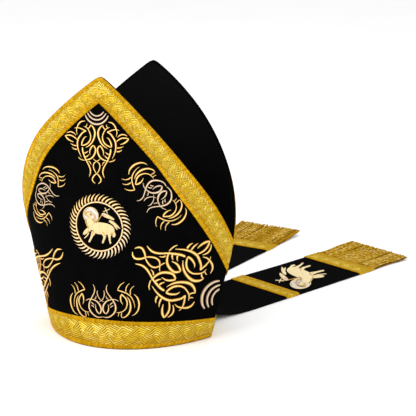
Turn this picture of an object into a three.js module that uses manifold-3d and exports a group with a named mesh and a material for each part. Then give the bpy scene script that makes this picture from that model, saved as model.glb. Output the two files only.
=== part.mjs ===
// Bishop mitre: two stiff velvet horns, lining and soft gusset between them, gold braid, two lappets.
// Millimetres, +Z up, front of the mitre faces -Y, origin at the centre of the head opening.
import * as THREE from "three";
import Module from "manifold-3d";

const wasm = await Module();
wasm.setup();
const { Manifold, Mesh: SolidMesh } = wasm;

// sections of the crown, each a pair of arcs that meet at the side seams
// height, half width at the seam, depth from the seam plane to the nose of each horn, arc half angle
const sections = [
  { z: 0, halfWidth: 107.5, frontDepth: 87, backDepth: 87, arc: 59 },
  { z: 124, halfWidth: 137.6, frontDepth: 85.5, backDepth: 86.9, arc: 69 },
  { z: 325, halfWidth: 167.5, frontDepth: 69.8, backDepth: 78.6, arc: 69 },
];
// how far a horn swells beyond its arc halfway between nose and seam, growing with height
const fullness = { fromZ: 150, toZ: 230, most: 1.3, front: 7.1, back: -3.9 };
const shoulderZ = sections[1].z;
const tipZ = sections[2].z;

// sloping edge of a horn: place across the panel (0 nose, 1 seam), share of the rise kept
const hornEdge = [
  { at: 0.0, rise: 1.0 },
  { at: 0.2, rise: 0.832 },
  { at: 0.4, rise: 0.65 },
  { at: 0.6, rise: 0.438 },
  { at: 0.8, rise: 0.221 },
  { at: 1.0, rise: 0.0 },
];
const tipRound = 0.018;

const panelWall = 2.4;
const seamGap = 0.3;
const layGap = 0.4;
const braidThick = 1.2;
const edgeBraidWide = 26.3;
const baseBraidWide = 33;
const baseBraidLift = 0.8;
// the top of the base braid stands up in the middle and dips towards the side seams
const baseBraidBow = { rise: 3, dipLeft: 19, dipRight: 10 };
// the front edge braid narrows towards its ends, and the left end is drawn into the seam
const edgeBraidTuck = { left: { from: 0.5, share: 0.6 }, right: { from: 0.25, share: 0.17 } };
const gussetThick = 1.2;
const acrossSteps = 32;

const lappetWide = 100;
const lappetThick = 1.6;
const rootRise = 24;
// which lappet, heading to the right of straight back, a point of its middle line, cloth length,
// how much its left side lies higher than its right, and how far the fringe end stands up
const lappets = [
  { side: "right", heading: 21, midX: 50, midY: 84, rootSign: 1, reach: 312, roll: 4.5, curl: 2.5 },
  { side: "left", heading: 7.5, midX: -56, midY: 84, rootSign: -1, reach: 350, roll: 2, curl: 6 },
];
const upperBraid = { wide: 25, fromEnd: 187 };
const lowerBraid = { wide: 33, fromEnd: 33 };
const fringe = { long: 79, thick: 4, spread: 2 };

const rad = Math.PI / 180;
const lerp = (a, b, k) => a + (b - a) * k;

// smooth curve through three rows
function throughRows(key, z) {
  const [p, q, r] = sections;
  const kp = ((z - q.z) * (z - r.z)) / ((p.z - q.z) * (p.z - r.z));
  const kq = ((z - p.z) * (z - r.z)) / ((q.z - p.z) * (q.z - r.z));
  const kr = ((z - p.z) * (z - q.z)) / ((r.z - p.z) * (r.z - q.z));
  return p[key] * kp + q[key] * kq + r[key] * kr;
}

function arcAt(z) {
  const k = Math.min(1, Math.max(0, z / shoulderZ));
  return lerp(sections[0].arc, sections[1].arc, k) * rad;
}

const hornDepth = (z, side) => throughRows(side < 0 ? "frontDepth" : "backDepth", z);

function swell(z, side) {
  const k = (z - fullness.fromZ) / (fullness.toZ - fullness.fromZ);
  return (side < 0 ? fullness.front : fullness.back) * Math.min(fullness.most, Math.max(0, k));
}

// plan point of the outer face, t from -1 (left seam) to 1 (right seam), pushed out by `off`
function crown(t, z, side, off = 0) {
  const w = throughRows("halfWidth", z);
  const d = hornDepth(z, side);
  const q = arcAt(z);
  const full = swell(z, side);
  const x = (w * Math.sin(t * q)) / Math.sin(q);
  const y = (d * (Math.cos(t * q) - Math.cos(q))) / (1 - Math.cos(q)) + full * Math.sin(Math.PI * t) ** 2;
  const tx = (w * Math.cos(t * q)) / Math.sin(q);
  const ty = (-d * Math.sin(t * q)) / (1 - Math.cos(q)) + full * Math.PI * Math.sin(2 * Math.PI * t);
  const len = Math.hypot(tx, ty);
  return [x - (ty / len) * off, side * (y + (tx / len) * off), z];
}

// monotone curve through the edge rows, with the point rounded a little
function edgeShare(t) {
  const u = Math.sqrt(t * t + tipRound * tipRound) / Math.sqrt(1 + tipRound * tipRound);
  const step = hornEdge[1].at;
  const i = Math.min(hornEdge.length - 2, Math.floor(u / step));
  const slope = (k) => {
    const lo = Math.max(0, k - 1);
    const hi = Math.min(hornEdge.length - 1, k + 1);
    return (hornEdge[hi].rise - hornEdge[lo].rise) / (hornEdge[hi].at - hornEdge[lo].at);
  };
  const k = (u - hornEdge[i].at) / step;
  const a = hornEdge[i].rise;
  const b = hornEdge[i + 1].rise;
  const h = (1 + 2 * k) * (1 - k) * (1 - k) * a + k * k * (3 - 2 * k) * b;
  return h + step * (k * (1 - k) * (1 - k) * slope(i) - k * k * (1 - k) * slope(i + 1));
}

const edgeZ = (t) => lerp(shoulderZ, tipZ, edgeShare(t));

// height of the braid's lower line: its width is measured square to the sloping edge
function braidLowZ(t) {
  const dt = 0.01;
  const pointShare = 0.07;
  const a = Math.min(1 - dt, Math.max(pointShare, Math.abs(t)));
  const p = crown(a - dt, edgeZ(a - dt), 1);
  const q = crown(a + dt, edgeZ(a + dt), 1);
  const slope = (q[2] - p[2]) / Math.hypot(q[0] - p[0], q[1] - p[1]);
  return edgeZ(t) - edgeBraidWide * Math.sqrt(1 + slope * slope);
}

// closed solid between two sheets of points with the same rows and columns
function slab(rows, cols, outer, inner) {
  const verts = [];
  const tris = [];
  for (const sheet of [outer, inner]) {
    for (let r = 0; r <= rows; r++) {
      for (let c = 0; c <= cols; c++) {
        verts.push(...sheet(r / rows, c / cols));
      }
    }
  }
  const id = (layer, r, c) => layer * (rows + 1) * (cols + 1) + r * (cols + 1) + c;
  const quad = (a, b, c, d) => tris.push(a, b, c, a, c, d);
  for (let r = 0; r < rows; r++) {
    for (let c = 0; c < cols; c++) {
      quad(id(0, r, c), id(0, r, c + 1), id(0, r + 1, c + 1), id(0, r + 1, c));
      quad(id(1, r, c), id(1, r + 1, c), id(1, r + 1, c + 1), id(1, r, c + 1));
    }
  }
  for (let c = 0; c < cols; c++) {
    quad(id(0, 0, c), id(1, 0, c), id(1, 0, c + 1), id(0, 0, c + 1));
    quad(id(0, rows, c), id(0, rows, c + 1), id(1, rows, c + 1), id(1, rows, c));
  }
  for (let r = 0; r < rows; r++) {
    quad(id(0, r, 0), id(0, r + 1, 0), id(1, r + 1, 0), id(1, r, 0));
    quad(id(0, r, cols), id(1, r, cols), id(1, r + 1, cols), id(0, r + 1, cols));
  }
  const mesh = new SolidMesh({
    numProp: 3,
    vertProperties: new Float32Array(verts),
    triVerts: new Uint32Array(tris),
  });
  mesh.merge();
  const solid = new Manifold(mesh);
  return solid.volume() < 0 ? flipped(verts, tris) : solid;
}

function flipped(verts, tris) {
  const back = [];
  for (let i = 0; i < tris.length; i += 3) {
    back.push(tris[i], tris[i + 2], tris[i + 1]);
  }
  const mesh = new SolidMesh({
    numProp: 3,
    vertProperties: new Float32Array(verts),
    triVerts: new Uint32Array(back),
  });
  mesh.merge();
  return new Manifold(mesh);
}

// keep the half in front of (side -1) or behind (side 1) the seam plane
const seamCut = (solid, side) => solid.trimByPlane([0, side, 0], seamGap / 2);

// strip of the crown between two heights given across the panel
function crownStrip(side, rows, lowZ, highZ, outOff, inOff) {
  const reach = 1.03;
  const place = (off) => (v, u) => {
    const t = lerp(-reach, reach, u);
    const held = Math.min(1, Math.max(-1, t));
    return crown(t, lerp(lowZ(held), highZ(held), v), side, off);
  };
  return seamCut(slab(rows, acrossSteps, place(outOff), place(inOff)), side);
}

function panel(side) {
  return crownStrip(side, 12, () => 0, edgeZ, 0, -panelWall);
}

function edgeBraid(side) {
  const low = (t) => {
    const { from, share } = t < 0 ? edgeBraidTuck.left : edgeBraidTuck.right;
    const near = side < 0 ? Math.max(0, (Math.abs(t) - from) / (1 - from)) : 0;
    return lerp(braidLowZ(t), edgeZ(t), share * near * near * (3 - 2 * near));
  };
  return crownStrip(side, 2, low, (t) => edgeZ(t) - 0.2, layGap + braidThick, layGap);
}

function baseBraid(side) {
  const { rise, dipLeft, dipRight } = baseBraidBow;
  const top = (t) => baseBraidWide + rise - (t < 0 ? dipLeft : dipRight) * t * t;
  return crownStrip(side, 2, () => baseBraidLift, top, layGap + braidThick, layGap);
}

// the lining of a horn hangs inside its panel down to a low rim, where the gusset is sewn on
const liningReach = 0.95;
const liningGap = 0.9;
const liningOff = -panelWall - liningGap;
const rimZ = (t) => shoulderZ - 6 + 0.13 * (edgeZ(t) - shoulderZ);

function hornLining(side) {
  const leaf = (off) => (v, u) => {
    const t = lerp(-liningReach, liningReach, u);
    return crown(t, lerp(rimZ(t) + gussetThick + seamGap, edgeZ(t) - 2.5, v), side, off);
  };
  return slab(5, 22, leaf(liningOff), leaf(liningOff - gussetThick));
}

// soft gusset between the horns, a slack bowl from rim to rim
function gusset() {
  const bowlDeep = 26;
  const bowl = (inset) => (v, u) => {
    const t = lerp(-liningReach, liningReach, u);
    const turn = lerp(-90, 90, v) * rad;
    const rim = rimZ(t);
    const side = turn < 0 ? -1 : 1;
    const wall = crown(t, rim, side, liningOff - inset);
    const deep = bowlDeep * Math.min(1, (1.6 * Math.abs(wall[1])) / hornDepth(rim, 1));
    return [wall[0], wall[1] * Math.abs(Math.sin(turn)), rim + inset - deep * Math.cos(turn)];
  };
  return slab(14, 22, bowl(0), bowl(gussetThick));
}

// lappet: its root follows the back of the rim, then it bends down and lies on the table
function lappetPoint(spec, along, across, lift) {
  const h = spec.heading * rad;
  const go = [Math.sin(h), Math.cos(h)];
  const right = [Math.cos(h), -Math.sin(h)];
  const flat = (s) => [
    spec.midX + go[0] * s + right[0] * across,
    spec.midY + go[1] * s + right[1] * across,
  ];
  const tail = Math.max(0, (along + rootRun - spec.reach) / fringe.long);
  const high = lift + spec.roll * (0.5 - across / lappetWide) + spec.curl * tail * tail;
  if (along >= 0) {
    const p = flat(along + rootRun);
    return [p[0], p[1], high];
  }
  const k = 1 + along / rootRun;
  const t = rootSpan(spec, across);
  const off = layGap * 2 + braidThick + lift;
  const wall = crown(t, rootRise, 1, off);
  const knee = crown(t, 0, 1, off + 4);
  const near = flat(rootRun - 26);
  const foot = flat(rootRun);
  const b0 = (1 - k) ** 3;
  const b1 = 3 * k * (1 - k) ** 2;
  const b2 = 3 * k * k * (1 - k);
  const b3 = k ** 3;
  const bx = b0 * wall[0] + b1 * knee[0] + b2 * near[0] + b3 * foot[0];
  const by = b0 * wall[1] + b1 * knee[1] + b2 * near[1] + b3 * foot[1];
  const bz = b0 * rootRise + b1 * (lift + 3) + (b2 + b3) * high;
  return [bx, by, bz];
}

const rootRun = 58;

// place across the back panel of a lappet's root, with a slit between the two at the middle
function rootSpan(spec, across) {
  const slit = 0.012;
  const share = (across * spec.rootSign) / lappetWide + 0.5;
  return spec.rootSign * lerp(slit, 0.66, share);
}

function lappetCloth(spec) {
  const sheet = (lift) => (v, u) => {
    const along = v < 0.5 ? lerp(-rootRun, 0, v * 2) : lerp(0, spec.reach - rootRun, v * 2 - 1);
    return lappetPoint(spec, along, lerp(-lappetWide / 2, lappetWide / 2, u), lift);
  };
  return slab(20, 8, sheet(lappetThick + 0.2), sheet(0.2));
}

// flat bar lying across a lappet, `from` measured along it
function lappetBar(spec, from, long, low, thick, spread = 0) {
  const sheet = (z) => (v, u) => {
    const half = lappetWide / 2 + spread * v;
    const along = from - rootRun + long * v;
    return lappetPoint(spec, along, lerp(-half, half, u), z);
  };
  return slab(2, 4, sheet(low + thick), sheet(low));
}

const velvet = new THREE.MeshStandardMaterial({ color: 0x0c0b0c, roughness: 0.92, metalness: 0 });
velvet.name = "velvet_black";
const lining = new THREE.MeshStandardMaterial({ color: 0x121112, roughness: 0.8, metalness: 0 });
lining.name = "lining_black";
const braid = new THREE.MeshStandardMaterial({ color: 0xc9971c, roughness: 0.45, metalness: 0.5 });
braid.name = "braid_gold";
const cord = new THREE.MeshStandardMaterial({ color: 0xb88419, roughness: 0.55, metalness: 0.4 });
cord.name = "fringe_gold";

const mitre = new THREE.Group();
mitre.name = "bishop_mitre";

function add(name, solid, material) {
  const mesh = solid.getMesh();
  const shape = new THREE.BufferGeometry();
  const count = mesh.numVert;
  const pos = new Float32Array(count * 3);
  for (let i = 0; i < count; i++) {
    for (let k = 0; k < 3; k++) {
      pos[i * 3 + k] = mesh.vertProperties[i * mesh.numProp + k];
    }
  }
  shape.setAttribute("position", new THREE.BufferAttribute(pos, 3));
  shape.setIndex(new THREE.BufferAttribute(new Uint32Array(mesh.triVerts), 1));
  shape.computeVertexNormals();
  const node = new THREE.Mesh(shape, material);
  node.name = name;
  mitre.add(node);
}

for (const [name, side] of [["front", -1], ["back", 1]]) {
  add(`${name}_panel`, panel(side), velvet);
  add(`${name}_edge_braid`, edgeBraid(side), braid);
  add(`${name}_base_braid`, baseBraid(side), braid);
  add(`${name}_lining`, hornLining(side), lining);
}
add("crown_gusset", gusset(), lining);
for (const spec of lappets) {
  const name = `${spec.side}_lappet`;
  const top = lappetThick + 0.2 + layGap;
  const lowerFrom = spec.reach - lowerBraid.fromEnd;
  add(name, lappetCloth(spec), velvet);
  add(`${name}_upper_braid`, lappetBar(spec, spec.reach - upperBraid.fromEnd, upperBraid.wide,
    top, braidThick), braid);
  add(`${name}_lower_braid`, lappetBar(spec, lowerFrom, lowerBraid.wide, top, braidThick), braid);
  add(`${name}_fringe`, lappetBar(spec, spec.reach + seamGap, fringe.long, 0.1, fringe.thick,
    fringe.spread), cord);
}

export default mitre;
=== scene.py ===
import math
import bpy
import bmesh
import numpy as np
from mathutils import Matrix, Vector


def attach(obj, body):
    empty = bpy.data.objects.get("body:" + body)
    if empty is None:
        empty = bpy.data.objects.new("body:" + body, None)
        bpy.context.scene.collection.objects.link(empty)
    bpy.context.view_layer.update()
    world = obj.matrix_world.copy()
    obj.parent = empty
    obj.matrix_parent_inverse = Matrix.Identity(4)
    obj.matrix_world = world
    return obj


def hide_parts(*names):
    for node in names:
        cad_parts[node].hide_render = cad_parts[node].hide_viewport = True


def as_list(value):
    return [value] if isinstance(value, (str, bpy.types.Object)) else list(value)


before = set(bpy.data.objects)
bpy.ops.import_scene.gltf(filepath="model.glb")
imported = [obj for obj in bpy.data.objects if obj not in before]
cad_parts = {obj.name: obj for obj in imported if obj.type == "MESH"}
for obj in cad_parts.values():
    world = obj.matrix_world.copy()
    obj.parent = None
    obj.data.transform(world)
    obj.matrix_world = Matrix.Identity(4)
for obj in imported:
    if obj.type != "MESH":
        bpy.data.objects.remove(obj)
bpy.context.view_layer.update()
scene = bpy.context.scene
mm = 0.001
print("frame loaded", sorted(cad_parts))

# crown of the mitre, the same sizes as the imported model, in mm
crown = {
    "z": (0.0, 124.0, 325.0),
    "halfWidth": (107.5, 137.6, 167.5),
    "frontDepth": (87.0, 85.5, 69.8),
    "backDepth": (87.0, 86.9, 78.6),
    "full": (7.1, -3.9),
    "fullZ": (150.0, 230.0, 1.3),
    "arc": (59.0, 69.0),
    "edgeAt": (0.0, 0.2, 0.4, 0.6, 0.8, 1.0),
    "edgeRise": (1.0, 0.832, 0.65, 0.438, 0.221, 0.0),
    "tipRound": 0.018,
    "seamReach": 0.9995,
}


def throughRows(key, z):
    z0, z1, z2 = crown["z"]
    a, b, c = crown[key]
    ka = (z - z1) * (z - z2) / ((z0 - z1) * (z0 - z2))
    kb = (z - z0) * (z - z2) / ((z1 - z0) * (z1 - z2))
    kc = (z - z0) * (z - z1) / ((z2 - z0) * (z2 - z1))
    return a * ka + b * kb + c * kc


# outer face: t runs -1 to 1 between the seams, side -1 front and 1 back, off pushes outwards
def crownPoints(t, z, side, off=0.0):
    t, z, off = np.broadcast_arrays(*(np.asarray(v, float) for v in (t, z, off)))
    w = throughRows("halfWidth", z)
    d = throughRows("frontDepth" if side < 0 else "backDepth", z)
    lift = np.clip(z / crown["z"][1], 0, 1)
    q = np.radians(crown["arc"][0] + (crown["arc"][1] - crown["arc"][0]) * lift)
    x = w * np.sin(t * q) / np.sin(q)
    y = d * (np.cos(t * q) - np.cos(q)) / (1 - np.cos(q))
    tx = w * np.cos(t * q) / np.sin(q)
    ty = -d * np.sin(t * q) / (1 - np.cos(q))
    low, high, most = crown["fullZ"]
    full = crown["full"][0 if side < 0 else 1] * np.clip((z - low) / (high - low), 0, most)
    y = y + full * np.sin(np.pi * t) ** 2
    ty = ty + full * np.pi * np.sin(2 * np.pi * t)
    size = np.hypot(tx, ty)
    return np.stack([x - ty / size * off, side * (y + tx / size * off), z], -1)


def edgeHeight(t, blunt=1.0):
    r = crown["tipRound"] * np.asarray(blunt, float)
    u = np.sqrt(np.asarray(t, float) ** 2 + r * r) / np.sqrt(1 + r * r)
    at = np.array(crown["edgeAt"])
    rise = np.array(crown["edgeRise"])
    slope = np.gradient(rise, at)
    slope[0] = (rise[1] - rise[0]) / (at[1] - at[0])
    slope[-1] = (rise[-1] - rise[-2]) / (at[-1] - at[-2])
    i = np.clip(np.searchsorted(at, u, side="right") - 1, 0, len(at) - 2)
    h = at[i + 1] - at[i]
    k = (u - at[i]) / h
    share = (1 + 2 * k) * (1 - k) ** 2 * rise[i] + k * k * (3 - 2 * k) * rise[i + 1]
    share = share + h * (k * (1 - k) ** 2 * slope[i] - k * k * (1 - k) * slope[i + 1])
    return crown["z"][1] + (crown["z"][2] - crown["z"][1]) * share


# slope of the sloping edge measured on the cloth, mm down for each mm out
def edgeSlope(t):
    step = 0.01
    pointShare = 0.07
    a = np.clip(np.abs(t), pointShare, 1 - step)
    p = crownPoints(a - step, edgeHeight(a - step), 1)
    q = crownPoints(a + step, edgeHeight(a + step), 1)
    flat = np.hypot(q[..., 0] - p[..., 0], q[..., 1] - p[..., 1])
    return (p[..., 2] - q[..., 2]) / flat


# flat cloth place (u sideways from the middle line, z up) to t on the crown
def clothToT(u, z):
    ts = np.linspace(0, 1.02, 60)
    zs = np.linspace(0, 330, 34)
    rows = crownPoints(ts[None, :], zs[:, None], -1)[..., :2]
    run = np.linalg.norm(np.diff(rows, axis=1), axis=2).cumsum(1)
    run = np.concatenate([np.zeros((len(zs), 1)), run], 1)
    u = np.asarray(u, float)
    k = np.clip(np.asarray(z, float) / zs[1], 0, len(zs) - 1.001)
    lo = k.astype(int)
    f = k - lo
    flatU = np.abs(u).ravel()
    out = np.empty(flatU.shape)
    for n, (uu, r0, ff) in enumerate(zip(flatU, lo.ravel(), f.ravel())):
        line = run[r0] * (1 - ff) + run[r0 + 1] * ff
        out[n] = np.interp(uu, line, ts)
    return out.reshape(u.shape) * np.sign(u)


# one mesh object from many sheets of points; each patch has points, uv and named point values
def patchesToObject(name, patches, materials, weld=False, crease=None):
    verts, uvs, quads, slots = [], [], [], []
    values = {}
    start = 0
    for p in patches:
        pts = p["points"]
        rows, cols = pts.shape[:2]
        verts.append(pts.reshape(-1, 3) * mm)
        uv = p.get("uv")
        uvs.append(np.zeros((rows * cols, 2)) if uv is None else uv.reshape(-1, 2))
        for key, val in p.get("values", {}).items():
            val = np.broadcast_to(val, (rows, cols)).ravel()
            values.setdefault(key, []).append((start, val))
        i = np.arange(rows * cols).reshape(rows, cols) + start
        q = np.stack([i[:-1, :-1], i[:-1, 1:], i[1:, 1:], i[1:, :-1]], -1).reshape(-1, 4)
        if p.get("flip"):
            q = q[:, ::-1]
        quads.append(q)
        slots.append(np.full(len(q), p.get("slot", 0)))
        start += rows * cols
    verts = np.concatenate(verts)
    uvs = np.concatenate(uvs)
    quads = np.concatenate(quads)
    slots = np.concatenate(slots)
    mesh = bpy.data.meshes.new(name)
    mesh.vertices.add(len(verts))
    mesh.vertices.foreach_set("co", verts.ravel())
    mesh.loops.add(quads.size)
    mesh.loops.foreach_set("vertex_index", quads.ravel())
    mesh.polygons.add(len(quads))
    mesh.polygons.foreach_set("loop_start", np.arange(0, quads.size, 4))
    mesh.polygons.foreach_set("material_index", slots.astype(np.int32))
    layer = mesh.uv_layers.new(name="cloth")
    layer.data.foreach_set("uv", uvs[quads.ravel()].ravel())
    for key, spans in values.items():
        data = np.zeros(len(verts))
        for begin, val in spans:
            data[begin:begin + len(val)] = val
        mesh.attributes.new(key, "FLOAT", "POINT").data.foreach_set("value", data)
    mesh.update()
    mesh.validate()
    if weld:
        bm = bmesh.new()
        bm.from_mesh(mesh)
        bmesh.ops.remove_doubles(bm, verts=bm.verts, dist=2e-6)
        bmesh.ops.recalc_face_normals(bm, faces=bm.faces)
        bm.to_mesh(mesh)
        bm.free()
    mesh.shade_smooth()
    if crease is not None:
        mesh.set_sharp_from_angle(angle=math.radians(crease))
    for m in materials:
        mesh.materials.append(m)
    obj = bpy.data.objects.new(name, mesh)
    scene.collection.objects.link(obj)
    return obj


# closed sheet of cloth: both faces and a strip along each border, from a function of (row, col, off)
def clothSlab(lay, rows, cols, thick, uvSize, flip=False):
    v = np.linspace(0, 1, rows + 1)
    u = np.linspace(0, 1, cols + 1)
    vv, uu = np.meshgrid(v, u, indexing="ij")
    uv = np.stack([uu * uvSize[0], vv * uvSize[1]], -1)
    top = lay(vv, uu, 0.0)
    low = lay(vv, uu, -thick)
    patches = [{"points": top, "uv": uv, "flip": flip},
               {"points": low, "uv": uv, "flip": not flip}]
    borders = ((0, slice(None)), (-1, slice(None)), (slice(None), 0), (slice(None), -1))
    for b in borders:
        edge = np.stack([top[b], low[b]], 1)
        patches.append({"points": edge, "uv": np.stack([uv[b], uv[b]], 1)})
    return patches


def keep(obj, slot, *nodes):
    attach(obj, "root")
    if nodes:
        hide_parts(*nodes)
    return obj


def node(tree, kind, links=None, **settings):
    n = tree.nodes.new(kind)
    for key, val in settings.items():
        setattr(n, key, val)
    for key, val in (links or {}).items():
        if isinstance(val, bpy.types.NodeSocket):
            tree.links.new(val, n.inputs[key])
        else:
            n.inputs[key].default_value = val
    return n


def place(tree, group, **values):
    return node(tree, "ShaderNodeGroup", values, node_tree=group)


# shader groups shared by the finishes: the socket named Color is a colour, the others are numbers
def newGroup(name, inputs, outputs):
    group = bpy.data.node_groups.new(name, "ShaderNodeTree")
    labels = [(label, "INPUT") for label in inputs] + [(label, "OUTPUT") for label in outputs]
    for label, way in labels:
        kind = "NodeSocketColor" if label == "Color" else "NodeSocketFloat"
        s = group.interface.new_socket(label, in_out=way, socket_type=kind)
        if way == "INPUT":
            s.default_value = inputs[label]
    return group, group.nodes.new("NodeGroupInput").outputs, group.nodes.new("NodeGroupOutput").inputs


# one maths step; plain numbers and sockets both go in
def calc(tree, kind, *args):
    return node(tree, "ShaderNodeMath", dict(enumerate(args)), operation=kind).outputs[0]


def scaled(tree, color, by):
    return node(tree, "ShaderNodeVectorMath", {0: color, "Scale": by}, operation="SCALE").outputs[0]


def mixed(tree, fac, first, second):
    links = {"Factor": fac, 6: first, 7: second}
    return node(tree, "ShaderNodeMix", links, data_type="RGBA").outputs[2]


def noise(tree, where, scale, detail):
    links = {"Vector": where, "Scale": scale, "Detail": detail}
    return node(tree, "ShaderNodeTexNoise", links).outputs[0]


def perNumber(tree, number):
    links = {"W": number}
    return node(tree, "ShaderNodeTexWhiteNoise", links, noise_dimensions="1D").outputs["Value"]


def makeMottle():
    inputs = {"Color": (1, 1, 1, 1), "Amount": 0.2, "Size": 60.0}
    group, ins, outs = newGroup("clothMottle", inputs, ["Color"])
    finer = 9.0
    where = node(group, "ShaderNodeTexCoord").outputs["Object"]
    big = noise(group, where, ins["Size"], 4.0)
    small = noise(group, where, calc(group, "MULTIPLY", ins["Size"], finer), 2.0)
    mask = calc(group, "SUBTRACT", calc(group, "ADD", big, small), 1.0)
    gain = calc(group, "MULTIPLY_ADD", mask, ins["Amount"], 1.0)
    group.links.new(scaled(group, ins["Color"], gain), outs["Color"])
    return group


# fine threads lying side by side, across or along a strip, each with a shade of its own
def makeThreads():
    inputs = {"Along": 0.0, "Across": 0.0, "Pitch": 0.4, "Slant": 0.0}
    group, ins, outs = newGroup("threadLines", inputs, ["Height", "Shade"])
    lean = calc(group, "MULTIPLY_ADD", ins["Across"], ins["Slant"], ins["Along"])
    turns = calc(group, "DIVIDE", lean, ins["Pitch"])
    wave = calc(group, "SINE", calc(group, "MULTIPLY", turns, math.pi))
    group.links.new(calc(group, "ABSOLUTE", wave), outs["Height"])
    group.links.new(perNumber(group, calc(group, "FLOOR", turns)), outs["Shade"])
    return group


def makePile():
    group, ins, outs = newGroup("clothPile", {"Scale": 1400.0}, ["Height"])
    napScale = 90.0
    napShare = 0.6
    where = node(group, "ShaderNodeTexCoord").outputs["Object"]
    pile = noise(group, where, ins["Scale"], 3.0)
    nap = noise(group, where, napScale, 2.0)
    group.links.new(calc(group, "MULTIPLY_ADD", nap, napShare, pile), outs["Height"])
    return group


# gold braid: corded selvedges and a plait between them, sizes in mm; the upper strands rise and arch
# over to the right, the lower ones fall away under them
braid = {
    "thick": 1.2, "lay": 0.3, "selvedge": 4.7, "ribs": 5, "plait": 0.45, "bed": 0.2, "step": 0.9,
    "period": 1.6, "lean": 0.62, "archDrop": 1.32, "archRun": 0.64, "zigzag": 0.2, "round": 0.12,
    "humpGain": 3.0, "sparkCuts": 4.0, "sparkMix": (7.31, 3.7),
    "cordRise": 0.7, "cordSpan": (0.06, 0.92), "edgeLift": 0.02, "edgeStep": 0.03,
}


def makePlait():
    inputs = {"Along": 0.0, "Across": 0.0, "Wide": 26.0}
    outputs = ["Rib", "Hump", "Spark", "Upper", "Arch", "Border"]
    group, ins, outs = newGroup("braidPlait", inputs, outputs)
    middle = calc(group, "MULTIPLY", ins["Wide"], 0.5)
    half = calc(group, "SUBTRACT", middle, braid["selvedge"])
    v = calc(group, "SUBTRACT", middle, ins["Across"])
    w = calc(group, "DIVIDE", v, half)
    x = calc(group, "DIVIDE", ins["Along"], calc(group, "MULTIPLY", half, braid["period"]))
    swing = calc(group, "SINE", calc(group, "MULTIPLY", x, 2 * math.pi))
    upper = calc(group, "GREATER_THAN", w, calc(group, "MULTIPLY", swing, braid["zigzag"]))
    a = calc(group, "MULTIPLY", w, calc(group, "MULTIPLY_ADD", upper, 2.0, -1.0))
    shift = calc(group, "MULTIPLY_ADD", upper, -0.5, 0.5)
    phase = calc(group, "ADD", calc(group, "MULTIPLY_ADD", a, -braid["lean"], x), shift)
    f = calc(group, "FRACT", phase)
    fall = calc(group, "MULTIPLY_ADD", a, -braid["archDrop"], braid["archDrop"])
    g = calc(group, "MULTIPLY_ADD", f, -braid["archRun"], fall)
    nest = calc(group, "SMOOTH_MIN", f, g, braid["round"])
    strand = calc(group, "MULTIPLY", nest, float(braid["ribs"]))
    rib = calc(group, "ABSOLUTE", calc(group, "SINE", calc(group, "MULTIPLY", strand, math.pi)))
    hump = calc(group, "MULTIPLY", nest, braid["humpGain"])
    hump = calc(group, "SQRT", calc(group, "MINIMUM", calc(group, "MAXIMUM", hump, 0.0), 1.0))
    arch = calc(group, "LESS_THAN", g, f)
    turnMix, cutMix = braid["sparkMix"]
    which = calc(group, "MULTIPLY_ADD", calc(group, "FLOOR", phase), turnMix, calc(group, "FLOOR", strand))
    cut = calc(group, "FLOOR", calc(group, "MULTIPLY", a, braid["sparkCuts"]))
    spark = perNumber(group, calc(group, "MULTIPLY_ADD", cut, cutMix, which))
    border = calc(group, "GREATER_THAN", calc(group, "ABSOLUTE", v), half)
    for label, value in zip(outputs, (rib, hump, spark, upper, arch, border)):
        group.links.new(value, outs[label])
    return group


plaitGroup = makePlait()
mottleGroup = makeMottle()
threadGroup = makeThreads()
pileGroup = makePile()


def newMaterial(name, rough, specular=None, metal=0.0):
    m = bpy.data.materials.new(name)
    m.use_nodes = True
    shader = m.node_tree.nodes["Principled BSDF"]
    shader.inputs["Roughness"].default_value = rough
    shader.inputs["Metallic"].default_value = metal
    if specular is not None:
        shader.inputs["Specular IOR Level"].default_value = specular
    return m, m.node_tree, shader


def bumpInto(tree, shader, height, strength, distance):
    b = node(tree, "ShaderNodeBump", {"Height": height, "Strength": strength, "Distance": distance})
    tree.links.new(b.outputs[0], shader.inputs["Normal"])


def ramp(tree, fac, stops):
    r = node(tree, "ShaderNodeValToRGB", {"Fac": fac})
    el = r.color_ramp.elements
    while len(el) < len(stops):
        el.new(0.5)
    for e, (at, rgb) in zip(el, stops):
        e.position = at
        e.color = (*rgb, 1)
    return r.outputs[0]


def clothUv(tree):
    uv = node(tree, "ShaderNodeUVMap", uv_map="cloth")
    return node(tree, "ShaderNodeSeparateXYZ", {0: uv.outputs[0]}).outputs[:2]


def mottledBase(tree, shader, color, amount, size):
    mottle = place(tree, mottleGroup, Color=color, Amount=amount, Size=size)
    tree.links.new(mottle.outputs["Color"], shader.inputs["Base Color"])


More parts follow.
